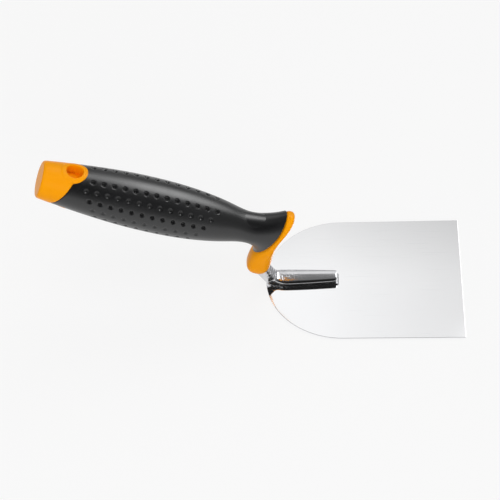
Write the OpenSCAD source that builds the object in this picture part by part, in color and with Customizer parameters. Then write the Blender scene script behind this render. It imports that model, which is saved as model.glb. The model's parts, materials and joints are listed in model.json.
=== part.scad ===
// Plasterer's flat trowel: a mirror-polished, round-heeled blade, a cranked forged tang
// welded to it, a hard handle core moulded round the tang, and a soft grip over the core.
// Frame: the origin is on the working face (the underside of the blade), on the centreline,
// at the centre of the heel's arc. +X points to the working edge and +Z to the handle side.
// The trowel is symmetric about the XZ plane. Sizes are in millimetres.

/* [Blade] */
// Width of the blade across its working edge
blade_w = 80; // [60:1:110]
// Length of the blade from its heel to its working edge
blade_l = 102; // [85:1:140]
// Thickness of the blade sheet
blade_t = 0.8; // [0.5:0.1:1.5]
// How much each side of the blade draws in from the working edge to the heel's arc
side_taper = 0.4; // [0:0.1:3]

/* [Tang] */
// Diameter of the round bar that the tang is forged from
bar_d = 7; // [5:0.5:8]
// Length of the shank that the handle core grips
shank_l = 76; // [40:1:90]
// Distance from the grip's front rim forward to the corner where the tang turns down
crank_ahead = 2; // [0:0.1:2.5]
// Distance from the heel forward to where the neck meets the tongue
bend_reach = 3.6; // [2:0.2:8]
// Slope of the neck to the blade where it leaves the guard
neck_slope = 58; // [45:1:75]
// Distance from the heel forward to the tip of the tongue
tongue_reach = 37; // [25:1:50]
// Width of the tongue near the neck
tongue_root_w = 10.4; // [8:0.5:16]
// Width of the tongue at its tip
tongue_tip_w = 7.4; // [6:0.5:12]
// Height of the tongue above the blade
tongue_h = 4; // [3:0.25:6]
// Width of the weld bead round the tongue's foot
weld_w = 0.8; // [0.4:0.1:1.5]

/* [Handle] */
// Length of the handle from its butt to the middle of the grip's front rim
handle_l = 121.6; // [105:1:150]
// Slope of the handle's axis to the blade
handle_tilt = 20.4; // [12:0.2:28]
// Distance from the heel forward to the handle's axis at the grip's front rim
rim_reach = 2.2; // [0:0.2:8]
// Height of the handle's axis at the grip's front rim above the working face
rim_z = 38.8; // [36:0.2:60]
// Diameter of the butt
butt_d = 19; // [15:0.5:24]
// Radius of the butt's rounded edge
butt_round = 1.6; // [0.5:0.1:3]
// Diameter of the handle at its thickest, under the palm
palm_d = 28.1; // [24:0.5:36]
// Distance from the butt to the thickest place
palm_at = 57; // [45:1:65]
// Diameter of the handle at its slim waist behind the rim
waist_d = 16.2; // [14:0.2:20]
// Distance from the waist forward to the rim
waist_back = 11; // [8:0.5:16]

/* [Grip] */
// Thickness of the soft grip over the core
grip_wall = 2.6; // [1.5:0.1:3.5]
// Height of the grip's oval front rim
rim_h = 31; // [24:0.2:40]
// Width of the grip's oval front rim
rim_w = 16.4; // [14:0.2:24]
// Height of the rim's middle above the handle's axis
rim_rise = 0.6; // [0:0.1:3]
// Lean of the rim's plane, its top towards the blade
rim_lean = 14; // [0:0.2:25]
// Length of bare butt on the handle's axis, behind the grip
butt_show = 11.6; // [8:0.2:16]
// Slant of the joint between the butt and the grip
joint_slant = 25; // [0:1:35]

/* [Guard] */
// Thickness of the guard at its top, in front of the rim
guard_top_t = 5.9; // [4:0.1:9]
// Thickness of the guard at the foot of its plate
guard_foot_t = 4.2; // [3:0.1:6]
// Diameter of the round lobe at the guard's foot
lobe_d = 12.4; // [10:0.2:16]
// Distance of the lobe's middle below the handle's axis
lobe_drop = 24; // [20:0.5:28]
// Distance of the lobe's middle in front of the rim's middle
lobe_ahead = 2.4; // [0:0.1:5]

/* [Hanging hole] */
// Diameter of the hanging hole
hang_d = 8.6; // [6:0.2:10]
// Distance from the butt to the hole's axis
hang_at = 15.4; // [13:0.1:22]
// Width of the ring of hard plastic round the hole
hang_ring = 2.2; // [1.2:0.1:3]
// How far that ring stands proud of the grip
hang_lip = 0.4; // [0.2:0.1:1]

/* [Hidden] */

heel_r = blade_w / 2 - side_taper;
heel_x = -heel_r;
edge_x = heel_x + blade_l;

// The handle's own frame runs forward along its axis from the butt.
rim_x = heel_x + rim_reach;
waist_at = handle_l - waist_back;
shoulder_back = 25;
shoulder_at = handle_l - shoulder_back;
shoulder_r = waist_d / 2 + 0.42 * (palm_d - waist_d) / 2;
shoulder_fall = -0.2;
stem_flare = 1.2;
shank_from = handle_l - shank_l;
lobe_at = handle_l + lobe_ahead;

sides = 48;
bore_fn = 64;
hull_fn = 32;
web_inset = 0.15;

// A smooth step between two radii with the slopes given at its ends
function blend(x, x0, r0, m0, x1, r1, m1) =
  let (t = (x - x0) / (x1 - x0), span = x1 - x0)
  (2 * t^3 - 3 * t^2 + 1) * r0 + (t^3 - 2 * t^2 + t) * span * m0
  + (3 * t^2 - 2 * t^3) * r1 + (t^3 - t^2) * span * m1;

// Radius of the handle's round body at a distance from the butt
function body_r(x) =
  x < palm_at ? butt_d / 2 + (palm_d - butt_d) / 2 * sin(90 * max(x, 0) / palm_at) :
  x < shoulder_at ? blend(x, palm_at, palm_d / 2, 0, shoulder_at, shoulder_r, shoulder_fall) :
  x < waist_at ? blend(x, shoulder_at, shoulder_r, shoulder_fall, waist_at, waist_d / 2, 0) :
  waist_d / 2;

// A point of the handle's frame in the trowel's frame, as [x, z]
function on_axis(x, z) = [
  rim_x - (handle_l - x) * cos(handle_tilt) + z * sin(handle_tilt),
  rim_z + (handle_l - x) * sin(handle_tilt) + z * cos(handle_tilt)
];

module on_handle() {
  translate([rim_x, 0, rim_z]) rotate([0, handle_tilt, 0]) translate([-handle_l, 0, 0]) children();
}

// A closed solid through rings that all have the same number of points
module loft(rings) {
  n = len(rings[0]);
  last = len(rings) - 1;
  points = [for (ring = rings) each ring];
  walls = [for (i = [0 : last - 1], j = [0 : n - 1])
    let (a = i * n + j, b = i * n + (j + 1) % n)
    each [[a, a + n, b + n], [a, b + n, b]]];
  caps = [[for (j = [0 : n - 1]) j], [for (j = [n - 1 : -1 : 0]) last * n + j]];
  polyhedron(points, concat(walls, caps), convexity = 6);
}

// ---------------------------------------------------------------- blade

module blade_outline() {
  circle(r = heel_r, $fn = 180);
  polygon([[0, -heel_r], [edge_x, -blade_w / 2], [edge_x, blade_w / 2], [0, heel_r]]);
}

module blade() {
  color("gainsboro") linear_extrude(blade_t) blade_outline();
}

// ---------------------------------------------------------------- tang

// Corners of the tang's centreline, from the shank's end to the tongue's tip, as [x, z]
tongue_z = blade_t + 0.35 * tongue_h;
bend_x = heel_x + bend_reach;
lobe_xz = on_axis(lobe_at, -lobe_drop);
neck_top_z = lobe_xz[1];
neck_top_x = bend_x - (neck_top_z - tongue_z) / tan(neck_slope);
tang_corners = [
  on_axis(shank_from, 0),
  on_axis(handle_l + crank_ahead, 0),
  [neck_top_x, neck_top_z],
  [bend_x, tongue_z],
  [heel_x + tongue_reach, tongue_z]
];
bend_cuts = [0, 7, 5, 3.2, 0];
bend_steps = 5;

// Points of a rounded corner, as a parabola between its two cut-back ends
function corner(i) =
  let (p = tang_corners[i - 1], q = tang_corners[i], r = tang_corners[i + 1],
       a = q + (p - q) / norm(p - q) * bend_cuts[i],
       b = q + (r - q) / norm(r - q) * bend_cuts[i])
  [for (k = [0 : bend_steps]) let (t = k / bend_steps) (1 - t)^2 * a + 2 * t * (1 - t) * q + t^2 * b];

tongue_tip_x = heel_x + tongue_reach;
tongue_root_x = bend_x + 5;
tip_round = 1;
// Stations of the tang as [x, z, width, height above the line, depth below it]
tang_line = [
  let (p = tang_corners[0]) [p[0], p[1], bar_d, bar_d / 2, bar_d / 2],
  each [for (p = corner(1)) [p[0], p[1], bar_d, bar_d / 2, bar_d / 2]],
  each [for (p = corner(2)) [p[0], p[1], bar_d, bar_d / 2, bar_d / 2]],
  each [for (k = [0 : bend_steps]) let (p = corner(3)[k], t = k / bend_steps)
    [p[0], p[1], bar_d + t * (0.8 * tongue_root_w - bar_d),
     bar_d / 2 + t * (0.72 * tongue_h - bar_d / 2), bar_d / 2 - t * (bar_d / 2 - 0.5 * tongue_h)]],
  [tongue_root_x, tongue_z, tongue_root_w, 0.65 * tongue_h, 0.5 * tongue_h],
  [tongue_root_x + 4, tongue_z, tongue_root_w, 0.65 * tongue_h, 0.5 * tongue_h],
  [tongue_tip_x - tip_round, tongue_z, tongue_tip_w, 0.65 * tongue_h, 0.5 * tongue_h],
  [tongue_tip_x - 0.3 * tip_round, tongue_z, tongue_tip_w - 0.7 * tip_round, 0.55 * tongue_h, 0.5 * tongue_h],
  [tongue_tip_x, tongue_z, tongue_tip_w - 2 * tip_round, 0.4 * tongue_h, 0.5 * tongue_h]
];
tang_sides = 24;

// Direction of the tang's centreline at a station, as [x, z]
function tang_dir(i) =
  let (a = tang_line[max(i - 1, 0)], b = tang_line[min(i + 1, len(tang_line) - 1)],
       d = [b[0] - a[0], b[1] - a[1]])
  d / norm(d);

function tang_ring(i) =
  let (p = tang_line[i], d = tang_dir(i))
  [for (k = [0 : tang_sides - 1])
    let (c = cos(360 * k / tang_sides), s = sin(360 * k / tang_sides), h = s * (s > 0 ? p[3] : p[4]))
    [p[0] - d[1] * h, c * p[2] / 2, p[1] + d[0] * h]];

module tang_body() {
  loft([for (i = [0 : len(tang_line) - 1]) tang_ring(i)]);
}

module tang() {
  color("silver") difference() {
    tang_body();
    translate([heel_x, -tongue_root_w, blade_t - 2 * tongue_h]) cube([tongue_reach + 10, 2 * tongue_root_w, 2 * tongue_h]);
  }
}

// ---------------------------------------------------------------- weld

module tongue_foot() {
  polygon([
    [bend_x - 1, bar_d / 2], [tongue_root_x, tongue_root_w / 2 - 0.2],
    [tongue_tip_x, tongue_tip_w / 2 - 0.2], [tongue_tip_x, -tongue_tip_w / 2 + 0.2],
    [tongue_root_x, -tongue_root_w / 2 + 0.2], [bend_x - 1, -bar_d / 2]
  ]);
}

module weld_bead() {
  color("silver") difference() {
    translate([0, 0, blade_t]) hull() {
      linear_extrude(0.1 * weld_w) offset(r = weld_w) tongue_foot();
      linear_extrude(weld_w) offset(r = 0.2 * weld_w) tongue_foot();
    }
    tang_body();
  }
}

// ---------------------------------------------------------------- handle

// A ring of the handle's outer body. shear tips the ring's plane; size_z and size_y are half axes.
function oval_ring(x, shear, size_z, size_y, rise = 0) =
  [for (k = [0 : sides - 1]) let (a = 360 * k / sides, z = rise + size_z * cos(a))
    [x + shear * z, -size_y * sin(a), z]];

// The same ring on the round body, whose radius follows the place that the tipped ring reaches
function body_ring(x, shear) =
  [for (k = [0 : sides - 1])
    let (a = 360 * k / sides, s = x + shear * body_r(x) * cos(a), r = body_r(s))
    [x + shear * r * cos(a), -r * sin(a), r * cos(a)]];

joint_shear = tan(joint_slant);
rim_shear = tan(rim_lean);
settle_at = butt_show + 1.5 * butt_d;
body_steps = 16;
flare_steps = 8;

module grip_outside() {
  loft(concat(
    [for (i = [0 : 3]) let (t = i / 4, x = butt_show + t * (settle_at - butt_show)) body_ring(x, joint_shear * (1 - t))],
    [for (i = [0 : body_steps]) body_ring(settle_at + (waist_at - settle_at) * i / body_steps, 0)],
    [for (i = [1 : flare_steps]) let (t = i / flare_steps, grow = t^1.8)
      oval_ring(waist_at + waist_back * t, rim_shear * t,
        waist_d / 2 + (rim_h - waist_d) / 2 * grow,
        waist_d / 2 + (rim_w - waist_d) / 2 * grow, rim_rise * grow)]
  ));
}

module butt_cap() {
  loft(concat(
    [for (a = [90 : -30 : 0]) let (x = butt_round * (1 - sin(a)), r = body_r(butt_round) - butt_round * (1 - cos(a)))
      oval_ring(x, 0, r, r)],
    [for (t = [0.3 : 0.35 : 1]) body_ring(butt_round + t * (butt_show - butt_round), joint_shear * t)]
  ));
}

// The core under the grip, from inside the butt to the guard
function stem_r(x) = body_r(x) - grip_wall + stem_flare * max(0, x - waist_at) / waist_back;

module core_stem() {
  from = butt_round + 1;
  to = handle_l + 1;
  steps = 18;
  rotate([90, 0, 90]) rotate_extrude($fn = bore_fn) polygon([
    [0, from],
    each [for (i = [0 : steps]) let (x = from + (to - from) * i / steps) [stem_r(x), x]],
    [0, to]
  ]);
}

module hang_boss() {
  reach = palm_d;
  intersection() {
    translate([hang_at, 0, -reach / 2]) cylinder(d = hang_d + 2 * hang_ring, h = reach, $fn = bore_fn);
    rotate([90, 0, 90]) rotate_extrude($fn = bore_fn) polygon([
      [0, 2], for (x = [2 : 4 : 38]) [body_r(x) + hang_lip, x], [0, 38]
    ]);
  }
}

// Places a child in the rim's own plane: its Z runs up the rim and its X out of the front.
module on_rim() {
  translate([handle_l, 0, 0]) rotate([0, rim_lean, 0]) translate([0, 0, rim_rise / cos(rim_lean)]) children();
}

// Half the plate's thickness at an angle round the rim from its top
function plate_r(a) = (guard_top_t + guard_foot_t + (guard_top_t - guard_foot_t) * cos(a)) / 4;

// One ball of the plate's edge; inset keeps the web's balls just inside the plate's
module plate_edge(a, inset = 0) {
  r = plate_r(a);
  translate([r, (rim_w / 2 - r) * sin(a), (rim_h / 2 / cos(rim_lean) - r) * cos(a)])
    sphere(r = r - inset, $fn = hull_fn);
}

// A rounded plate of the rim's outline, lying against the grip's front
module guard_plate() {
  on_rim() hull() for (a = [0 : 20 : 340]) plate_edge(a);
}

// The web that carries the plate down into the lobe
module guard_foot() {
  hull() {
    on_rim() for (a = [95 : 34 : 265]) plate_edge(a, web_inset);
    translate([lobe_at, 0, -lobe_drop]) sphere(d = lobe_d, $fn = hull_fn);
  }
}

module handle_core() {
  color("orange") difference() {
    on_handle() difference() {
      union() {
        butt_cap();
        core_stem();
        hang_boss();
        guard_plate();
        guard_foot();
      }
      translate([hang_at, 0, -palm_d]) cylinder(d = hang_d, h = 2 * palm_d, $fn = bore_fn);
    }
    tang_body();
  }
}

module soft_grip() {
  color("dimgray") on_handle() difference() {
    grip_outside();
    core_stem();
    translate([hang_at, 0, -palm_d]) cylinder(d = hang_d + 2 * hang_ring, h = 2 * palm_d, $fn = bore_fn);
  }
}

blade();
tang();
weld_bead();
handle_core();
soft_grip();
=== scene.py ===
# %% [markdown]
# # A plasterer's trowel
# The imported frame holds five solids: a blade, a cranked tang, the weld bead between them, a hard handle
# core and a soft grip. This lesson gives each of them its visible form and its finish.
# Every piece is modelled at its real place, so nothing is fitted afterwards.

import json
from math import atan2, cos, degrees, pi, radians, sin, tan

import bpy
import numpy as np
from mathutils import Matrix, Vector


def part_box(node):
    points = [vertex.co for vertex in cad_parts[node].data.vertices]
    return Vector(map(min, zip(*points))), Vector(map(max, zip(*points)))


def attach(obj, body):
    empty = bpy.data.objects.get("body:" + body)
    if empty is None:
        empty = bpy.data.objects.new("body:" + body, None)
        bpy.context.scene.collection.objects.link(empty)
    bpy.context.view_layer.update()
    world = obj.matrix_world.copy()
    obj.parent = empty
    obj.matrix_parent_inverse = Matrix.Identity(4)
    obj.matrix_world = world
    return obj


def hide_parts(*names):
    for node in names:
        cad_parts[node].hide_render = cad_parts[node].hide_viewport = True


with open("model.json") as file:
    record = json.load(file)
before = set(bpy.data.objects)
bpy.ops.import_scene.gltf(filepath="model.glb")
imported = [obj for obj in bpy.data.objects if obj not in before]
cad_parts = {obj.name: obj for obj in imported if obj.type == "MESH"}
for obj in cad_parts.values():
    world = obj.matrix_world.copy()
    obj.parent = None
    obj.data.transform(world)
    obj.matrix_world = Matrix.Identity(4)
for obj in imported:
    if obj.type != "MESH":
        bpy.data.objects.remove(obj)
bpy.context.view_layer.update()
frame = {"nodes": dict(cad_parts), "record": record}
MM = 0.001
mounts = {m["name"]: m for m in frame["record"]["mounts"]}
print("nodes:", sorted(frame["nodes"]))

# %% [markdown]
# The handle leans back over the blade, so its pieces are easier to model upright and tilt afterwards.
# The hanging hole gives that lean: its axis points up through the handle, square to the handle's length.
# In the handle's own space Z runs forward from the butt, X runs up and Y runs across.

# %% The handle's own space
handle_up = Vector(mounts["hang_hole"]["axis"]).normalized()
handle_forward = Vector((handle_up.z, 0.0, -handle_up.x))
hang_at = 15.4
butt_middle = Vector(mounts["hang_hole"]["pos_m"]) - handle_forward * hang_at * MM
handle_space = Matrix((
    (handle_up.x, 0.0, handle_forward.x, butt_middle.x),
    (0.0, -1.0, 0.0, butt_middle.y),
    (handle_up.z, 0.0, handle_forward.z, butt_middle.z),
    (0.0, 0.0, 0.0, 1.0),
))
print("butt middle, mm:", [round(v / MM, 1) for v in butt_middle])

# %% [markdown]
# A few small helpers keep the later cells short. Operators act on everything that is selected,
# so each piece starts with nothing selected, and parts of a mesh are selected by their place.

# %% Helpers for selecting and applying
def only(piece):
    if bpy.context.mode != "OBJECT":
        bpy.ops.object.mode_set(mode="OBJECT")
    bpy.ops.object.select_all(action="DESELECT")
    piece.select_set(True)
    bpy.context.view_layer.objects.active = piece
    return piece


def named(name):
    piece = bpy.context.object
    piece.name = name
    piece.data.name = name
    return piece


def apply_all(piece):
    only(piece)
    for modifier in list(piece.modifiers):
        bpy.ops.object.modifier_apply(modifier=modifier.name)
    return piece


def recalculate(piece):
    only(piece)
    bpy.ops.object.mode_set(mode="EDIT")
    bpy.ops.mesh.select_all(action="SELECT")
    bpy.ops.mesh.remove_doubles(threshold=0.002 * MM)
    bpy.ops.mesh.normals_make_consistent(inside=False)
    bpy.ops.object.mode_set(mode="OBJECT")
    return piece


def place(piece, space):
    """Moves a finished mesh into the trowel's frame and leaves its object at the origin."""
    only(piece)
    piece.matrix_world = space
    bpy.ops.object.transform_apply(location=True, rotation=True, scale=True)
    return recalculate(piece)


def measured(piece):
    low, high = (np.array([v.co for v in piece.data.vertices]).min(0),
                 np.array([v.co for v in piece.data.vertices]).max(0))
    print(piece.name, "mm:", (high - low).round(4) / MM, "faces:", len(piece.data.polygons))
    return piece


def smooth(piece, angle=40):
    only(piece)
    bpy.ops.object.shade_smooth_by_angle(angle=radians(angle))
    return piece


# %% [markdown]
# Most pieces here are stacks of ovals. One ring is drawn, then extruded from station to station,
# and each new ring is stretched and tipped in edit mode, just as one would by hand.
# A curve with a bevel could do the same, but it can't change its height and width apart.

# %% A stack of rings
def turn_ring(lean, middle):
    bpy.ops.transform.rotate(value=radians(lean), orient_axis="Y", center_override=middle)


def resize_ring(size_x, size_y, middle):
    bpy.ops.transform.resize(value=(size_x, size_y, 1.0), center_override=middle)


def first_ring(name, sides, corner=None):
    """A filled circle, or a square with its corners rounded by that share of a side."""
    if bpy.context.mode != "OBJECT":
        bpy.ops.object.mode_set(mode="OBJECT")
    bpy.ops.object.select_all(action="DESELECT")
    if corner is None:
        bpy.ops.mesh.primitive_circle_add(vertices=sides, radius=MM, fill_type="NGON")
    else:
        bpy.ops.mesh.primitive_plane_add(size=2 * MM)
    piece = named(name)
    bpy.ops.object.mode_set(mode="EDIT")
    bpy.ops.mesh.select_all(action="SELECT")
    if corner is not None:
        bpy.ops.mesh.bevel(affect="VERTICES", offset=corner * MM, segments=sides // 4 - 1)
        bpy.ops.mesh.select_all(action="SELECT")
    return piece


def ring_stack(name, stations, sides=32, corner=None):
    """stations: (z, middle x, half size along x, half size along y, lean in degrees), in mm."""
    piece = first_ring(name, sides, corner)
    z, x, half_x, half_y, lean = stations[0]
    resize_ring(half_x, half_y, (0, 0, 0))
    turn_ring(lean, (0, 0, 0))
    bpy.ops.transform.translate(value=(x * MM, 0, z * MM))
    for (za, xa, ha, wa, la), (zb, xb, hb, wb, lb) in zip(stations, stations[1:]):
        step = ((xb - xa) * MM, 0, (zb - za) * MM)
        bpy.ops.mesh.extrude_region_move(TRANSFORM_OT_translate={"value": step})
        middle = (xb * MM, 0, zb * MM)
        turn_ring(-la, middle)
        resize_ring(hb / ha, wb / wa, middle)
        turn_ring(lb, middle)
    bpy.ops.object.mode_set(mode="OBJECT")
    return piece


def subdivided(piece, levels):
    modifier = piece.modifiers.new("smooth_form", "SUBSURF")
    modifier.levels = levels
    modifier.render_levels = levels
    return apply_all(piece)


# %% [markdown]
# ## The handle's round body
# The butt and the grip share one outline: it swells to the palm, falls to a slim waist, and then
# flares into an oval rim. Both pieces read it from the same function, so their skins line up.

# %% Outline of the handle
handle_l = 121.6
butt_r = 9.5
palm_r, palm_at = 14.05, 57.0
waist_r, waist_at = 8.1, handle_l - 11.0
shoulder_at = handle_l - 25.0
shoulder_r = waist_r + 0.42 * (palm_r - waist_r)
shoulder_fall = -0.2


def blend(x, x0, r0, m0, x1, r1, m1):
    t, span = (x - x0) / (x1 - x0), x1 - x0
    return ((2 * t**3 - 3 * t**2 + 1) * r0 + (t**3 - 2 * t**2 + t) * span * m0
            + (3 * t**2 - 2 * t**3) * r1 + (t**3 - t**2) * span * m1)


def body_r(x):
    if x < palm_at:
        return butt_r + (palm_r - butt_r) * sin(pi / 2 * max(x, 0.0) / palm_at)
    if x < shoulder_at:
        return blend(x, palm_at, palm_r, 0.0, shoulder_at, shoulder_r, shoulder_fall)
    if x < waist_at:
        return blend(x, shoulder_at, shoulder_r, shoulder_fall, waist_at, waist_r, 0.0)
    return waist_r


def body_station(z, lean=0.0, proud=0.0):
    """A ring of the round body, whose top and bottom reach other places when it leans."""
    reach = body_r(z) * tan(radians(lean))
    top, bottom = body_r(z + reach) + proud, body_r(z - reach) + proud
    middle = (top - bottom) / 2
    return (z, middle, (top + bottom) / 2 / cos(radians(lean)), body_r(z) + proud, lean)


for place_mm in (0, 30, palm_at, 90, waist_at):
    print("radius at", place_mm, "mm:", round(body_r(place_mm), 2))

# %% [markdown]
# ## The soft grip
# On the real tool this skin is a black thermoplastic rubber, shot over the hard core. Its joint with the
# butt is a slanted cut, and at the front it flares into a leaning oval rim. The cage below is coarse and a
# Subdivision Surface rounds it; close pairs of rings keep its two ends crisp.

# %% Grip: the cage
joint_at, joint_lean = 11.6, 25.0
rim_half_h, rim_half_w, rim_rise, rim_lean = 15.5, 8.2, 0.6, 14.0
tunnel_r = 6.9
edge_r = 0.45
settle_at = 40.0


def flare_station(t, shrink=0.0, ahead=0.0):
    grow = t**1.8
    half_h = waist_r + (rim_half_h - waist_r) * grow - shrink
    half_w = waist_r + (rim_half_w - waist_r) * grow - shrink
    lean = rim_lean * t
    z = waist_at + (handle_l - waist_at) * t
    return (z + ahead, rim_rise * grow, half_h / cos(radians(lean)), half_w, lean)


joint_ring = body_station(joint_at, joint_lean)
grip_stations = [
    (joint_at, joint_ring[1], tunnel_r, tunnel_r, joint_lean),
    (joint_at, joint_ring[1], joint_ring[2] - 2 * edge_r, joint_ring[3] - 2 * edge_r, joint_lean),
    (joint_at, joint_ring[1], joint_ring[2] - 0.5 * edge_r, joint_ring[3] - 0.5 * edge_r, joint_lean),
    body_station(joint_at + 0.5 * edge_r, joint_lean),
    body_station(joint_at + 2.5 * edge_r, joint_lean),
]
for i in range(1, 7):
    share = i / 6
    grip_stations.append(body_station(joint_at + share * (settle_at - joint_at), joint_lean * (1 - share)))
for i in range(1, 25):
    grip_stations.append(body_station(settle_at + (waist_at - settle_at) * i / 24))
for t in (0.2, 0.4, 0.6, 0.76, 0.88, 0.96):
    grip_stations.append(flare_station(t))
grip_stations += [
    flare_station(1.0),
    flare_station(1.0, shrink=0.3 * edge_r, ahead=0.0),
    flare_station(1.0, shrink=1.6 * edge_r, ahead=0.1),
    (handle_l, rim_rise, tunnel_r, tunnel_r, rim_lean),
]
soft_skin = ring_stack("grip_skin", grip_stations, sides=28)
print("rings in the grip's cage:", len(grip_stations))

# %% [markdown]
# The stack is closed by two flat caps. Joining those caps into a tunnel leaves room for the core's stem,
# so the grip is a true sleeve. The bridge operator does that between two selected faces.

# %% Grip: the tunnel for the core
def cap_faces(piece):
    ends = [f for f in piece.data.polygons if len(f.vertices) > 4]
    return [f.index for f in ends]


def open_tunnel(piece):
    only(piece)
    ends = cap_faces(piece)
    bpy.ops.object.mode_set(mode="EDIT")
    bpy.ops.mesh.select_mode(type="FACE")
    bpy.ops.mesh.select_all(action="DESELECT")
    bpy.ops.object.mode_set(mode="OBJECT")
    for index in ends:
        piece.data.polygons[index].select = True
    bpy.ops.object.mode_set(mode="EDIT")
    bpy.ops.mesh.bridge_edge_loops()
    bpy.ops.mesh.select_mode(type="VERT")
    bpy.ops.object.mode_set(mode="OBJECT")
    return piece


open_tunnel(soft_skin)
recalculate(soft_skin)
subdivided(soft_skin, 3)
print("grip faces:", len(soft_skin.data.polygons))

# %% [markdown]
# Rows of small round pits give the fingers a hold. Cutting over a hundred balls out with booleans would leave
# ragged shading, so a vertex group marks each pit and a Displace modifier presses them in. The mesh is
# fine enough for each pit to be real geometry.

# %% Pushing a surface by weight
def push_by_weight(piece, direction, distance, weights):
    """Moves each vertex by its share, from 0 to 1, of a distance in mm along Z or its normal."""
    group = piece.vertex_groups.new(name="push")
    for index in np.nonzero(weights)[0]:
        group.add([int(index)], float(weights[index]), "REPLACE")
    push = piece.modifiers.new("push", "DISPLACE")
    push.direction = direction
    push.mid_level = 0.0
    push.strength = distance * MM
    push.vertex_group = group.name
    apply_all(piece)
    piece.vertex_groups.clear()
    print(piece.name, "vertices pushed:", int((weights > 0).sum()))
    return piece


def points_of(piece):
    """The x, y and z of every vertex, in mm."""
    flat = np.empty(len(piece.data.vertices) * 3)
    piece.data.vertices.foreach_get("co", flat)
    return flat.reshape(-1, 3).T / MM


# %% Grip: the rows of pits
pit_r, pit_depth = 1.15, 1.25
row_pitch = 5.42
# Each row: its angle down from the handle's top, where it starts, its number of pits and their depth
pit_rows = [(23.5, 25.1, 13, 1.0), (47.0, 22.6, 13, 0.7), (70.0, 25.4, 12, 1.0),
            (92.5, 28.4, 11, 0.5), (115.0, 31.0, 10, 0.4), (138.0, 28.4, 10, 0.4)]


def pit_weights(piece):
    x, y, z = points_of(piece)
    radius, turned = np.hypot(x, y), np.arctan2(y, x)
    weights = np.zeros(len(x))
    for degrees_down, start, count, share in pit_rows:
        for angle in (radians(degrees_down), -radians(degrees_down)):
            turn = (turned - angle + pi) % (2 * pi) - pi
            for i in range(count):
                away = np.hypot(z - start - i * row_pitch, turn * radius) / pit_r
                inside = (away < 1) & (radius > tunnel_r + 0.5)
                weights[inside] = np.maximum(weights[inside], share * (1 - away[inside]**3))
    return weights


push_by_weight(soft_skin, "NORMAL", -pit_depth, pit_weights(soft_skin))

# %% [markdown]
# Two more touches fit the grip to the core. Its front face is domed a little, so the plate of the guard
# looks thinner at half height than at its ends. A rod then clears the way for the ring
# round the hanging hole.

# %% Grip: domed front and clearance for the ring
dome_out, dome_reach = 1.7, 11.0


def rim_dome(up):
    """How far forward the joint with the guard bulges at this height above the handle's line."""
    return dome_out * max(0.0, 1 - ((up - rim_rise) / rim_half_h)**2)


def dome_weights(piece):
    up, across, along = points_of(piece)
    t = np.clip((along - tan(radians(rim_lean)) * up - (handle_l - dome_reach)) / dome_reach, 0.0, 1.0)
    share = np.clip(1 - ((up - rim_rise) / rim_half_h)**2, 0.0, 1.0)
    return t * t * (3 - 2 * t) * share


def upright_rod(name, radius, reach=16.0):
    bpy.ops.object.select_all(action="DESELECT")
    bpy.ops.mesh.primitive_cylinder_add(vertices=128, radius=radius * MM, depth=2 * reach * MM,
                                        location=(0, 0, hang_at * MM), rotation=(0, pi / 2, 0))
    return named(name)


def boolean(piece, tool, operation):
    modifier = piece.modifiers.new(operation.lower(), "BOOLEAN")
    modifier.operation = operation
    modifier.solver = "EXACT"
    modifier.object = tool
    apply_all(piece)
    bpy.data.objects.remove(tool)
    return piece


hole_r, ring_r, ring_proud = 4.3, 6.6, 0.4
push_by_weight(soft_skin, "Z", dome_out, dome_weights(soft_skin))
boolean(soft_skin, upright_rod("ring_clearance", ring_r - 0.05), "DIFFERENCE")
place(soft_skin, handle_space)
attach(soft_skin, "root")
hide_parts("soft_grip")
smooth(soft_skin, 60)
measured(soft_skin)

# %% [markdown]
# ## The guard
# In front of the grip the hard plastic forms a tall, rounded plate that stops the thumb at its top. It runs
# down into a round lobe, where the steel neck comes out. A stack of rounded squares, built from the lobe
# upwards, gives the plate its thick edges, which ovals would make too thin.

# %% Guard: plate, web and lobe
rim_shear = tan(radians(rim_lean))


def rim_plane_at(up):
    return handle_l + rim_shear * up + rim_dome(up) - 0.05


def guard_station(up, back, front, half_w):
    return (up, (back + front) / 2, (front - back) / 2, half_w, 0.0)


guard_stations = [
    guard_station(-30.1, 122.4, 125.6, 1.7),
    guard_station(-29.3, 120.4, 127.5, 3.7),
    guard_station(-27.2, 118.5, 129.4, 5.5),
    guard_station(-24.0, 117.7, 130.3, 6.3),
    guard_station(-20.0, 117.6, 129.9, 6.5),
    guard_station(-15.8, rim_plane_at(-15.5), 129.0, 6.9),
    guard_station(-13.0, rim_plane_at(-13.0), 128.5, 7.2),
    guard_station(-10.0, rim_plane_at(-10.0), 128.0, 7.6),
    guard_station(-5.0, rim_plane_at(-5.0), 127.3, 8.1),
    guard_station(0.0, rim_plane_at(0.0), 127.2, 8.35),
    guard_station(5.0, rim_plane_at(5.0), 128.5, 8.0),
    guard_station(9.5, rim_plane_at(9.5), 129.8, 6.9),
    guard_station(13.0, rim_plane_at(13.0), 130.4, 5.1),
    guard_station(15.2, rim_plane_at(15.2), 130.1, 3.4),
    guard_station(16.2, rim_plane_at(16.2) + 0.8, 129.2, 1.8),
]
guard_space = Matrix((
    (handle_forward.x, 0.0, handle_up.x, butt_middle.x),
    (0.0, 1.0, 0.0, butt_middle.y),
    (handle_forward.z, 0.0, handle_up.z, butt_middle.z),
    (0.0, 0.0, 0.0, 1.0),
))
guard = ring_stack("core_guard", guard_stations, sides=16, corner=0.72)
subdivided(guard, 3)
place(guard, guard_space)
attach(guard, "root")
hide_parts("handle_core")
smooth(guard, 60)
measured(guard)

# %% [markdown]
# ## The butt and its hanging hole
# The butt shows bare plastic behind the grip. A ring of the same plastic runs through the handle
# round the hanging hole. Booleans join and drill these, and a voxel Remesh followed by a light Smooth
# then rounds every edge evenly, as a mould does.

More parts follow.
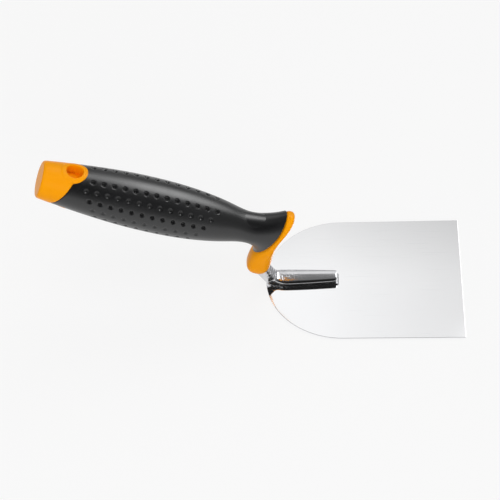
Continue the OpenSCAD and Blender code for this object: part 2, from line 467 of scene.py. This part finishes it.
# %% Butt: body, ring and hole
butt_round = 1.5
stem_r = 6.6
butt_edge = body_station(joint_at, joint_lean)
butt_stations = [(butt_round * (1 - sin(a)), 0.0, butt_r + 0.15 - butt_round * (1 - cos(a)),
                  butt_r + 0.15 - butt_round * (1 - cos(a)), 0.0)
                 for a in (pi / 2, pi / 3, pi / 6, 0.0)]
butt_stations += [body_station(4.0, 0.25 * joint_lean), body_station(7.5, 0.6 * joint_lean),
                  body_station(joint_at - 0.4, joint_lean),
                  (joint_at - 0.1, butt_edge[1], butt_edge[2] - 0.25, butt_edge[3] - 0.25, joint_lean)]
butt = ring_stack("core_butt", butt_stations, sides=192)
boss_stations = [(body_z, 0.0, body_r(body_z) + ring_proud, body_r(body_z) + ring_proud, 0.0)
                 for body_z in range(6, 27, 2)]
boss = ring_stack("hang_boss", boss_stations, sides=192)


boolean(boss, upright_rod("boss_rod", ring_r), "INTERSECT")
boolean(butt, boss, "UNION")
boolean(butt, upright_rod("hole_rod", hole_r), "DIFFERENCE")
print("butt faces after booleans:", len(butt.data.polygons))

# %% Butt: round its edges
def rounded(piece, voxel, passes):
    remesh = piece.modifiers.new("even_mesh", "REMESH")
    remesh.mode = "VOXEL"
    remesh.voxel_size = voxel * MM
    relax = piece.modifiers.new("round_edges", "SMOOTH")
    relax.factor = 0.5
    relax.iterations = passes
    return apply_all(piece)


rounded(butt, voxel=0.24, passes=7)
place(butt, handle_space)
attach(butt, "root")
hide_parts("handle_core")
smooth(butt, 80)
measured(butt)

# %% [markdown]
# The stem of the core joins the butt to the guard inside the grip. Nobody sees it, but an exploded view
# would, so it is there as a plain tapered rod with the tunnel's clearance.

# %% Core stem inside the grip
stem_stations = [(joint_at - 2.0, 0.0, stem_r, stem_r, 0.0), (joint_at + 6.0, 0.0, stem_r, stem_r, 0.0),
                 (waist_at, 0.0, stem_r - 0.6, stem_r - 0.6, 0.0), (handle_l + 1.0, 0.0, stem_r, stem_r, 0.0)]
stem = ring_stack("core_stem", stem_stations, sides=48)
place(stem, handle_space)
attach(stem, "root")
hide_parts("handle_core")
smooth(stem, 40)
measured(stem)

# %% [markdown]
# ## The tang
# One steel bar is forged flat at one end for the tongue, bent at the heel, and cranked again inside the
# guard to run up the handle. The stack follows that line, each ring turned square to it.
# A Bisect then cuts the tongue flat where it meets the blade.

# %% Tang: its line
heel_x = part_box("blade")[0][0] / MM
blade_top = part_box("blade")[1][2] / MM
bar_r = 3.5
tongue_h = 4.0
tongue_z = blade_top + 0.35 * tongue_h
bend_x = heel_x + 3.6
tongue_tip_x = heel_x + 37.0
neck_slope = 58.0


def on_handle(forward, up=0.0):
    point = butt_middle / MM + handle_forward * forward + handle_up * up
    return Vector((point.x, point.z))


neck_top_z = on_handle(handle_l + 2.4, -24.0).y
neck_top = Vector((bend_x - (neck_top_z - tongue_z) / tan(radians(neck_slope)), neck_top_z))
tang_corners = [on_handle(handle_l - 76.0), on_handle(handle_l + 2.0), neck_top,
                Vector((bend_x, tongue_z)), Vector((tongue_tip_x, tongue_z))]
corner_cuts = [0.0, 7.0, 5.0, 3.2, 0.0]


def rounded_corner(i, steps=6):
    """(point, direction) along the i-th corner, rounded as a parabola."""
    before, at, after = tang_corners[i - 1:i + 2]
    start = at + (before - at).normalized() * corner_cuts[i]
    end = at + (after - at).normalized() * corner_cuts[i]
    for k in range(steps + 1):
        t = k / steps
        yield (start * (1 - t)**2 + at * 2 * t * (1 - t) + end * t**2,
               (at - start) * (1 - t) + (end - at) * t)


def tang_station(point, way, half_w=bar_r, above=bar_r, below=bar_r):
    """One ring, square to the way the bar runs, that reaches above and below its line."""
    up = Vector((-way.y, way.x)).normalized()
    middle = point + up * (above - below) / 2
    return (middle.y, middle.x, (above + below) / 2, half_w, degrees(-atan2(way.x, way.y)))


# %% Tang: the bar, its bends and its tongue
forwards = Vector((1.0, 0.0))
root_w, tip_w = 5.2, 3.7
tang_stations = [tang_station(tang_corners[0], tang_corners[1] - tang_corners[0])]
for i in (1, 2):
    tang_stations += [tang_station(point, way) for point, way in rounded_corner(i)]
for k, (point, way) in enumerate(rounded_corner(3)):
    t = k / 6
    tang_stations.append(tang_station(point, way, bar_r + t * (0.86 * root_w - bar_r),
                                      bar_r + t * (0.72 * tongue_h - bar_r), bar_r - t * (bar_r - 0.6 * tongue_h)))
for x, half_w, above in ((bend_x + 5.0, root_w, 3.1), (bend_x + 9.0, root_w, 3.1),
                         (bend_x + 18.0, 4.85, 3.1), (tongue_tip_x - 5.0, 4.15, 3.05),
                         (tongue_tip_x - 1.8, tip_w + 0.22, 3.05), (tongue_tip_x - 0.9, tip_w + 0.05, 3.05),
                         (tongue_tip_x - 0.3, tip_w - 0.35, 3.0), (tongue_tip_x, tip_w - 0.9, 2.8)):
    tang_stations.append(tang_station(Vector((x, tongue_z)), forwards, half_w, above, 0.6 * tongue_h))
bar = ring_stack("tang_bar", tang_stations, sides=16, corner=0.52)
subdivided(bar, 3)


def cut_below(piece, height):
    only(piece)
    bpy.ops.object.mode_set(mode="EDIT")
    bpy.ops.mesh.select_all(action="SELECT")
    bpy.ops.mesh.bisect(plane_co=(0, 0, height), plane_no=(0, 0, 1), use_fill=True, clear_inner=True)
    bpy.ops.object.mode_set(mode="OBJECT")
    return piece


cut_below(bar, blade_top * MM)

# %% [markdown]
# The top of the tongue isn't level. The hammer left a narrow flat ridge near its far edge, and from there
# the steel slopes gently to the near side and more steeply to the far side. Each of the three faces
# mirrors another part of the room, so they show as a grey, a white and a dark stripe.

# %% Tang: the three faces of the tongue
ridge_from, ridge_to = 0.3, 2.1
near_slope, far_slope = 0.16, 0.42
deepest = 1.1


def ridge_weights(piece):
    x, y, z = points_of(piece)
    along = np.clip((x - bend_x - 1.0) / 5.0, 0.0, 1.0)
    down = np.maximum(near_slope * (ridge_from - y), far_slope * (y - ridge_to))
    high = np.clip((z - blade_top) / tongue_h, 0.0, 1.0)
    return along * np.clip(down, 0.0, deepest) / deepest * high


push_by_weight(bar, "Z", -deepest, ridge_weights(bar))
place(bar, Matrix.Identity(4))
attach(bar, "root")
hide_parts("tang")
smooth(bar, 50)
measured(bar)

# %% [markdown]
# ## The blade
# The blade is one thin sheet: a half round at the heel and almost straight sides to the working edge.
# A circle is cut in half, its cut side is drawn out to the working edge, and the sheet is extruded to its
# thickness. A fine bevel catches the light along the edge, as a polished sheet does.

# %% Blade: the sheet
blade_low, blade_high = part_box("blade")
edge_x = blade_high[0] / MM
edge_half_w = blade_high[1] / MM
heel_r = -heel_x
edge_bevel = 0.16


def select_where(piece, test):
    """Selects vertices by their place, then leaves the mesh in edit mode."""
    only(piece)
    bpy.ops.object.mode_set(mode="EDIT")
    bpy.ops.mesh.select_mode(type="VERT")
    bpy.ops.mesh.select_all(action="DESELECT")
    bpy.ops.object.mode_set(mode="OBJECT")
    for vertex in piece.data.vertices:
        vertex.select = test(vertex.co / MM)
    bpy.ops.object.mode_set(mode="EDIT")


def sheet_outline():
    sheet = first_ring("blade_sheet", 256)
    resize_ring(heel_r, heel_r, (0, 0, 0))
    bpy.ops.mesh.bisect(plane_co=(0, 0, 0), plane_no=(1, 0, 0), use_fill=False, clear_outer=True)
    bpy.ops.object.mode_set(mode="OBJECT")
    select_where(sheet, lambda co: co.x > -0.001)
    bpy.ops.mesh.extrude_region_move(TRANSFORM_OT_translate={"value": (edge_x * MM, 0, 0)})
    bpy.ops.transform.resize(value=(1, edge_half_w / heel_r, 1), center_override=(edge_x * MM, 0, 0))
    bpy.ops.object.mode_set(mode="OBJECT")
    return sheet


sheet = sheet_outline()
only(sheet)
bpy.ops.object.mode_set(mode="EDIT")
bpy.ops.mesh.select_all(action="SELECT")
bpy.ops.mesh.dissolve_limited(angle_limit=radians(0.05))
bpy.ops.mesh.select_all(action="SELECT")
bpy.ops.mesh.extrude_region_move(TRANSFORM_OT_translate={"value": (0, 0, blade_top * MM)})
bpy.ops.object.mode_set(mode="OBJECT")
recalculate(sheet)
sheet_bevel = sheet.modifiers.new("edge", "BEVEL")
sheet_bevel.width = edge_bevel * MM
sheet_bevel.segments = 3
sheet_bevel.limit_method = "ANGLE"
sheet_bevel.angle_limit = radians(50)
apply_all(sheet)
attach(sheet, "root")
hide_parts("blade")
smooth(sheet, 12)
measured(sheet)

# %% [markdown]
# ## Finishes
# Two plastics and two steels make up this tool. The plastics share a fine moulded skin,
# and the steels share faint polishing lines, so those two effects are node groups with their own values
# in each material.

# %% Node helpers
def new_group(name, inputs, outputs):
    """inputs: (name, default value) pairs; outputs: (name, socket type) pairs."""
    group = bpy.data.node_groups.new(name, "ShaderNodeTree")
    for label, value in inputs:
        group.interface.new_socket(label, in_out="INPUT", socket_type="NodeSocketFloat").default_value = value
    for label, kind in outputs:
        group.interface.new_socket(label, in_out="OUTPUT", socket_type=kind)
    return group, group.nodes.new("NodeGroupInput"), group.nodes.new("NodeGroupOutput")


def node(tree, kind, **settings):
    made = tree.nodes.new(kind)
    for key, value in settings.items():
        setattr(made, key, value)
    return made


def noise(tree, vector, scale, detail=2.0, roughness=0.5):
    made = node(tree, "ShaderNodeTexNoise")
    made.inputs["Detail"].default_value = detail
    made.inputs["Roughness"].default_value = roughness
    if isinstance(scale, (int, float)):
        made.inputs["Scale"].default_value = scale
    else:
        tree.links.new(scale, made.inputs["Scale"])
    tree.links.new(vector, made.inputs["Vector"])
    return made.outputs["Fac"]


def map_range(tree, value, low, high, to_low, to_high):
    made = node(tree, "ShaderNodeMapRange")
    made.clamp = True
    for index, number in enumerate((low, high, to_low, to_high), start=1):
        if isinstance(number, (int, float)):
            made.inputs[index].default_value = number
        else:
            tree.links.new(number, made.inputs[index])
    tree.links.new(value, made.inputs[0])
    return made.outputs[0]


def bump(tree, height, distance, strength=1.0, normal=None):
    made = node(tree, "ShaderNodeBump")
    made.inputs["Strength"].default_value = strength
    made.inputs["Distance"].default_value = distance
    tree.links.new(height, made.inputs["Height"])
    if normal is not None:
        tree.links.new(normal, made.inputs["Normal"])
    return made.outputs["Normal"]


def mix_colours(tree, amount, first, second, blend_type="MIX"):
    made = node(tree, "ShaderNodeMix", data_type="RGBA", blend_type=blend_type)
    for socket, value in ((made.inputs[0], amount), (made.inputs[6], first), (made.inputs[7], second)):
        if isinstance(value, (int, float, tuple)):
            socket.default_value = value
        else:
            tree.links.new(value, socket)
    return made.outputs[2]


# %% [markdown]
# The moulded skin is two noises: a fine one for the spark-eroded texture that a mould leaves, and a broad
# one for the slow changes of sheen where hands have rubbed. It puts out a height, a rubbed mask and a
# speckle, and each material decides what to do with them.

# %% Shared effect: a moulded skin
def moulded_skin():
    group, given, result = new_group(
        "moulded_skin", (("Grain Scale", 1500.0), ("Rub Scale", 40.0)),
        (("Height", "NodeSocketFloat"), ("Rubbed", "NodeSocketFloat"), ("Speckle", "NodeSocketFloat")))
    place_at = node(group, "ShaderNodeTexCoord").outputs["Object"]
    grain = noise(group, place_at, given.outputs["Grain Scale"], detail=3.0, roughness=0.6)
    rub = noise(group, place_at, given.outputs["Rub Scale"], detail=4.0, roughness=0.62)
    group.links.new(grain, result.inputs["Height"])
    group.links.new(map_range(group, rub, 0.35, 0.68, 0.0, 1.0), result.inputs["Rubbed"])
    group.links.new(map_range(group, grain, 0.52, 0.7, 0.0, 1.0), result.inputs["Speckle"])
    return group


# %% [markdown]
# Polishing leaves hair-fine lines along the sheet. Stretching a noise a hundredfold along X draws them,
# and a few broad smears show where the sheet was wiped.

# %% Shared effect: polishing lines
def polish_lines():
    group, given, result = new_group(
        "polish_lines", (("Lines", 2600.0), ("Smear Scale", 14.0)),
        (("Height", "NodeSocketFloat"), ("Smear", "NodeSocketFloat"), ("Scratch", "NodeSocketFloat")))
    place_at = node(group, "ShaderNodeTexCoord").outputs["Object"]
    stretched = node(group, "ShaderNodeMapping")
    stretched.inputs["Scale"].default_value = (0.012, 1.0, 1.0)
    group.links.new(place_at, stretched.inputs["Vector"])
    lines = noise(group, stretched.outputs["Vector"], given.outputs["Lines"], detail=2.0)
    smear = noise(group, place_at, given.outputs["Smear Scale"], detail=3.0)
    group.links.new(lines, result.inputs["Height"])
    group.links.new(map_range(group, smear, 0.35, 0.7, 0.0, 1.0), result.inputs["Smear"])
    group.links.new(map_range(group, lines, 0.66, 0.72, 0.0, 1.0), result.inputs["Scratch"])
    return group


skin_group, lines_group = moulded_skin(), polish_lines()
print("node groups:", [g.name for g in (skin_group, lines_group)])


# %% Material helper
def new_material(name, group, **values):
    material = bpy.data.materials.new(name)
    material.use_nodes = True
    tree = material.node_tree
    shader = tree.nodes["Principled BSDF"]
    effect = node(tree, "ShaderNodeGroup", node_tree=group)
    for label, value in values.items():
        effect.inputs[label.replace("_", " ")].default_value = value
    return material, tree, shader, effect


def wear(piece, material):
    piece.data.materials.clear()
    piece.data.materials.append(material)


# %% [markdown]
# The soft grip is almost black with a satin sheen. Its grain is fine, and rubbed places are a little
# smoother and darker.

# %% Finish: black soft plastic
def soft_plastic():
    material, tree, shader, skin = new_material("black_soft_plastic", skin_group, Grain_Scale=1300.0, Rub_Scale=38.0)
    speckled = mix_colours(tree, skin.outputs["Speckle"], (0.006, 0.0062, 0.007, 1), (0.0115, 0.0117, 0.0127, 1))
    tree.links.new(mix_colours(tree, skin.outputs["Rubbed"], speckled, (0.0052, 0.0054, 0.006, 1)),
                   shader.inputs["Base Color"])
    tree.links.new(map_range(tree, skin.outputs["Rubbed"], 0.0, 1.0, 0.36, 0.28), shader.inputs["Roughness"])
    tree.links.new(bump(tree, skin.outputs["Height"], 0.00006, 0.35), shader.inputs["Normal"])
    shader.inputs["Specular IOR Level"].default_value = 0.75
    return material


# %% [markdown]
# The core is a warm yellow-orange, glossy, with the faintest orange peel. Plastic of this kind lets a little light
# in, so thin edges glow; this material leaves that out.

# %% Finish: yellow hard plastic
def hard_plastic():
    material, tree, shader, skin = new_material("yellow_hard_plastic", skin_group, Grain_Scale=900.0, Rub_Scale=55.0)
    speckled = mix_colours(tree, skin.outputs["Speckle"], (0.965, 0.362, 0.0012, 1), (0.975, 0.385, 0.002, 1))
    tree.links.new(mix_colours(tree, skin.outputs["Rubbed"], speckled, (0.95, 0.342, 0.001, 1)),
                   shader.inputs["Base Color"])
    tree.links.new(map_range(tree, skin.outputs["Rubbed"], 0.0, 1.0, 0.34, 0.27), shader.inputs["Roughness"])
    tree.links.new(bump(tree, skin.outputs["Height"], 0.00005, 0.12), shader.inputs["Normal"])
    shader.inputs["IOR"].default_value = 1.34
    shader.inputs["Specular IOR Level"].default_value = 0.14
    return material


# %% [markdown]
# The blade is a mirror with polishing lines too fine to count. The tang is the same steel, less evenly
# polished, and its bend still shows small hammer marks under the polish.

# %% Finish: polished blade steel
def blade_steel():
    material, tree, shader, lines = new_material("polished_blade_steel", lines_group, Lines=2600.0, Smear_Scale=14.0)
    bright = mix_colours(tree, lines.outputs["Smear"], (0.955, 0.957, 0.965, 1), (0.93, 0.933, 0.944, 1))
    tree.links.new(mix_colours(tree, lines.outputs["Scratch"], bright, (0.88, 0.884, 0.9, 1)),
                   shader.inputs["Base Color"])
    tree.links.new(map_range(tree, lines.outputs["Smear"], 0.0, 1.0, 0.05, 0.09), shader.inputs["Roughness"])
    tree.links.new(bump(tree, lines.outputs["Height"], 0.000004, 0.25), shader.inputs["Normal"])
    shader.inputs["Metallic"].default_value = 1.0
    return material


# %% Finish: forged tang steel
def tang_steel():
    material, tree, shader, lines = new_material("forged_tang_steel", lines_group, Lines=2000.0, Smear_Scale=60.0)
    place_at = node(tree, "ShaderNodeTexCoord").outputs["Object"]
    along = node(tree, "ShaderNodeSeparateXYZ")
    tree.links.new(place_at, along.inputs["Vector"])
    near_bend = map_range(tree, along.outputs["X"], (bend_x + 6.0) * MM, (bend_x + 17.0) * MM, 1.0, 0.0)
    dents = node(tree, "ShaderNodeTexVoronoi", feature="SMOOTH_F1")
    dents.inputs["Scale"].default_value = 1300.0
    tree.links.new(place_at, dents.inputs["Vector"])
    marks = node(tree, "ShaderNodeMath", operation="MULTIPLY")
    tree.links.new(dents.outputs["Distance"], marks.inputs[0])
    tree.links.new(near_bend, marks.inputs[1])
    bright = mix_colours(tree, lines.outputs["Smear"], (0.80, 0.80, 0.815, 1), (0.68, 0.68, 0.70, 1))
    tree.links.new(bright, shader.inputs["Base Color"])
    tree.links.new(map_range(tree, lines.outputs["Smear"], 0.0, 1.0, 0.12, 0.2), shader.inputs["Roughness"])
    polished = bump(tree, lines.outputs["Height"], 0.00001, 0.3)
    tree.links.new(bump(tree, marks.outputs[0], 0.00022, 0.5, polished), shader.inputs["Normal"])
    shader.inputs["Metallic"].default_value = 1.0
    return material


black, yellow, mirror, forged = soft_plastic(), hard_plastic(), blade_steel(), tang_steel()
wear(soft_skin, black)
for piece in (guard, butt, stem):
    wear(piece, yellow)
wear(sheet, mirror)
wear(bar, forged)
for slot in frame["nodes"]["weld_bead"].material_slots:
    slot.material = forged
print("materials:", [m.name for m in (black, yellow, mirror, forged)])

# %% [markdown]
# ## Floor, light and camera
# A white floor stands under the tool. It shows as white to the camera and to the mirror steel,
# and keeps a soft shadow. A large soft card behind the tool is what the blade mirrors, with one end
# a little darker, and a softbox above draws the long highlights along the grip.

# %% Floor
def seen(tree):
    """1 for rays that look at a surface, directly or in a mirror; 0 for rays that only light it."""
    path = node(tree, "ShaderNodeLightPath")
    first = node(tree, "ShaderNodeMath", operation="MAXIMUM")
    tree.links.new(path.outputs["Is Camera Ray"], first.inputs[0])
    tree.links.new(path.outputs["Is Glossy Ray"], first.inputs[1])
    both = node(tree, "ShaderNodeMath", operation="MAXIMUM")
    tree.links.new(first.outputs[0], both.inputs[0])
    tree.links.new(path.outputs["Is Transmission Ray"], both.inputs[1])
    return both.outputs[0]


def floor_material():
    material = bpy.data.materials.new("pale_floor")
    material.use_nodes = True
    tree = material.node_tree
    tree.nodes.remove(tree.nodes["Principled BSDF"])
    output = tree.nodes["Material Output"]
    plain = node(tree, "ShaderNodeBsdfDiffuse")
    plain.inputs["Color"].default_value = (0.8, 0.8, 0.8, 1)
    glow = node(tree, "ShaderNodeEmission")
    glow.inputs["Color"].default_value = (1, 1, 1, 1)
    glow.inputs["Strength"].default_value = 1.0
    paper = node(tree, "ShaderNodeMixShader")
    paper.inputs[0].default_value = 0.22
    tree.links.new(glow.outputs[0], paper.inputs[1])
    tree.links.new(plain.outputs[0], paper.inputs[2])
    chosen = node(tree, "ShaderNodeMixShader")
    tree.links.new(seen(tree), chosen.inputs[0])
    tree.links.new(plain.outputs[0], chosen.inputs[1])
    tree.links.new(paper.outputs[0], chosen.inputs[2])
    tree.links.new(chosen.outputs[0], output.inputs["Surface"])
    return material


bpy.ops.object.select_all(action="DESELECT")
bpy.ops.mesh.primitive_plane_add(size=8.0, location=(0, 0, -0.0003))
floor = named("floor")
wear(floor, floor_material())

# %% World
def ramp_product(tree, first, second):
    made = node(tree, "ShaderNodeMath", operation="MULTIPLY")
    tree.links.new(first, made.inputs[0])
    tree.links.new(second, made.inputs[1])
    return made.outputs[0]


def grey_background(tree, value):
    made = node(tree, "ShaderNodeBackground")
    if isinstance(value, (int, float)):
        made.inputs["Color"].default_value = (value, value, value, 1)
    else:
        colour = node(tree, "ShaderNodeCombineColor")
        for channel in colour.inputs:
            tree.links.new(value, channel)
        tree.links.new(colour.outputs[0], made.inputs["Color"])
    return made.outputs[0]


def choose(tree, amount, first, second):
    made = node(tree, "ShaderNodeMixShader")
    tree.links.new(amount, made.inputs[0])
    tree.links.new(first, made.inputs[1])
    tree.links.new(second, made.inputs[2])
    return made.outputs[0]


plain_level = 0.5
horizon_level, zenith_level, window_level = 0.34, 0.18, 0.92
view_target = Vector((-48.09, 21.69, 0.0)) * MM
view_rise, view_turn, view_roll = radians(49.0), radians(1.447), radians(-1.867)
towards_viewer = Vector((sin(view_turn) * cos(view_rise), -cos(view_turn) * cos(view_rise), sin(view_rise)))
mirrored_way = Vector((-towards_viewer.x, -towards_viewer.y, towards_viewer.z))


def studio_world():
    """White to the camera, plain grey as a lamp, and for reflections a grey room with a bright window
    at the back and a black flag round the viewer."""
    world = bpy.data.worlds.new("studio")
    bpy.context.scene.world = world
    world.use_nodes = True
    tree = world.node_tree
    tree.nodes.remove(tree.nodes["Background"])
    way = node(tree, "ShaderNodeTexCoord").outputs["Generated"]
    facing = node(tree, "ShaderNodeSeparateXYZ")
    tree.links.new(way, facing.inputs["Vector"])
    walls = map_range(tree, facing.outputs["Z"], 0.1, 0.9, horizon_level, zenith_level)
    window = ramp_product(tree, map_range(tree, facing.outputs["Y"], 0.4, 0.62, 0.0, 1.0),
                          map_range(tree, facing.outputs["Z"], 0.35, 0.6, 0.0, 1.0))
    lit = map_range(tree, window, 0.0, 1.0, walls, window_level)
    beside = node(tree, "ShaderNodeVectorMath", operation="DOT_PRODUCT")
    tree.links.new(way, beside.inputs[0])
    beside.inputs[1].default_value = towards_viewer
    flag = map_range(tree, beside.outputs["Value"], 0.78, 0.94, 1.0, 0.05)
    room = grey_background(tree, ramp_product(tree, lit, flag))
    path = node(tree, "ShaderNodeLightPath")
    shiny = choose(tree, path.outputs["Is Glossy Ray"], grey_background(tree, plain_level), room)
    tree.links.new(choose(tree, path.outputs["Is Camera Ray"], shiny, grey_background(tree, 1.0)),
                   tree.nodes["World Output"].inputs["Surface"])


studio_world()

# %% [markdown]
# Three glowing cards exist for reflections only. Their edges fade out, as a softbox does, so the highlights
# on the satin grip have soft ends. One is what the blade mirrors, and it darkens to the right and far side.

# %% Cards for reflections
def faded(tree, along, half, share):
    """1 in the middle of a card and 0 at its edge, fading over the outer share of its half size."""
    size = node(tree, "ShaderNodeMath", operation="ABSOLUTE")
    tree.links.new(along, size.inputs[0])
    return map_range(tree, size.outputs[0], half * (1 - share), half, 1.0, 0.0)


def glowing_card(name, way, distance, size, radiance, fade=0.6, fall=None):
    middle = Vector((-0.06, 0.0, 0.04)) if fall is None else Vector((0.0, 0.0, 0.0))
    location = middle + Vector(way).normalized() * distance
    bpy.ops.object.select_all(action="DESELECT")
    bpy.ops.mesh.primitive_plane_add(size=1.0)
    card = named(name)
    card.scale = (*size, 1.0)
    bpy.ops.object.transform_apply(location=False, rotation=False, scale=True)
    card.location = location
    card.rotation_euler = (middle - location).to_track_quat("Z", "Y").to_euler()
    material = bpy.data.materials.new(name)
    material.use_nodes = True
    tree = material.node_tree
    tree.nodes.remove(tree.nodes["Principled BSDF"])
    spot = node(tree, "ShaderNodeSeparateXYZ")
    tree.links.new(node(tree, "ShaderNodeTexCoord").outputs["Object"], spot.inputs["Vector"])
    glow = node(tree, "ShaderNodeEmission")
    glow.inputs["Strength"].default_value = radiance
    if fall is not None:
        (right_from, right_to, right_drop), (far_from, far_to, far_drop) = fall
        level = node(tree, "ShaderNodeMath", operation="SUBTRACT")
        tree.links.new(map_range(tree, spot.outputs["X"], right_from, right_to, radiance, radiance - right_drop),
                       level.inputs[0])
        tree.links.new(map_range(tree, spot.outputs["Y"], far_from, far_to, 0.0, far_drop), level.inputs[1])
        tree.links.new(level.outputs[0], glow.inputs["Strength"])
    mask = ramp_product(tree, faded(tree, spot.outputs["X"], size[0] / 2, fade),
                        faded(tree, spot.outputs["Y"], size[1] / 2, fade))
    clear = node(tree, "ShaderNodeBsdfTransparent")
    tree.links.new(choose(tree, mask, clear.outputs[0], glow.outputs[0]),
                   tree.nodes["Material Output"].inputs["Surface"])
    wear(card, material)
    card.visible_camera = card.visible_diffuse = card.visible_shadow = False
    card.visible_transmission = card.visible_volume_scatter = False
    return card


glowing_card("blade_card", mirrored_way, 1.2, (0.56, 0.44), 0.99, fade=0.35,
             fall=((0.02, 0.18, 0.21), (0.02, -0.05, 0.19)))
glowing_card("band_card", (0.50, 0.44, 0.74), 1.0, (0.72, 0.86), 5.6)
glowing_card("spark_card", (0.58, 0.62, 0.53), 1.0, (0.2, 0.2), 3.0)

# %% Lamps
def softbox(name, way, distance, size, radiance):
    """A soft rectangle lamp that only lights the colours, aimed at the middle of the tool.
    Radiance 1 is as bright as white paper."""
    middle = Vector((-0.06, 0.0, 0.04))
    location = middle + Vector(way).normalized() * distance
    bpy.ops.object.light_add(type="AREA", location=location)
    lamp = bpy.context.object
    lamp.name = name
    lamp.data.shape = "RECTANGLE"
    lamp.data.size, lamp.data.size_y = size
    lamp.data.energy = radiance * pi * size[0] * size[1]
    lamp.rotation_euler = (middle - location).to_track_quat("-Z", "Y").to_euler()
    lamp.visible_glossy = False
    return lamp


softbox("back_key", (0.25, 0.55, 0.80), 1.3, (0.8, 0.8), 1.3)
softbox("overhead", (-0.1, -0.25, 1.0), 1.4, (0.9, 0.9), 1.7)
softbox("front_fill", (0.1, -0.9, 0.45), 1.4, (0.8, 0.8), 3.1)

# %% Camera
view_distance, view_lens = 1.26807, 172.8
back = Vector((sin(view_turn) * cos(view_rise), -cos(view_turn) * cos(view_rise), sin(view_rise)))
level = Vector((cos(view_turn), sin(view_turn), 0.0))
upright = back.cross(level)
across = cos(view_roll) * level + sin(view_roll) * upright
upwards = cos(view_roll) * upright - sin(view_roll) * level
bpy.ops.object.camera_add()
camera = bpy.context.object
camera.name = "camera"
camera.data.sensor_width = 36.0
camera.data.lens = view_lens
camera.matrix_world = Matrix.Translation(view_target + back * view_distance) @ Matrix((
    (across.x, upwards.x, back.x), (across.y, upwards.y, back.y), (across.z, upwards.z, back.z))).to_4x4()
bpy.context.scene.camera = camera
bpy.context.scene.view_settings.view_transform = "Standard"

# %% [markdown]
# ## Finish

# %% Finish
bpy.ops.object.select_all(action="DESELECT")
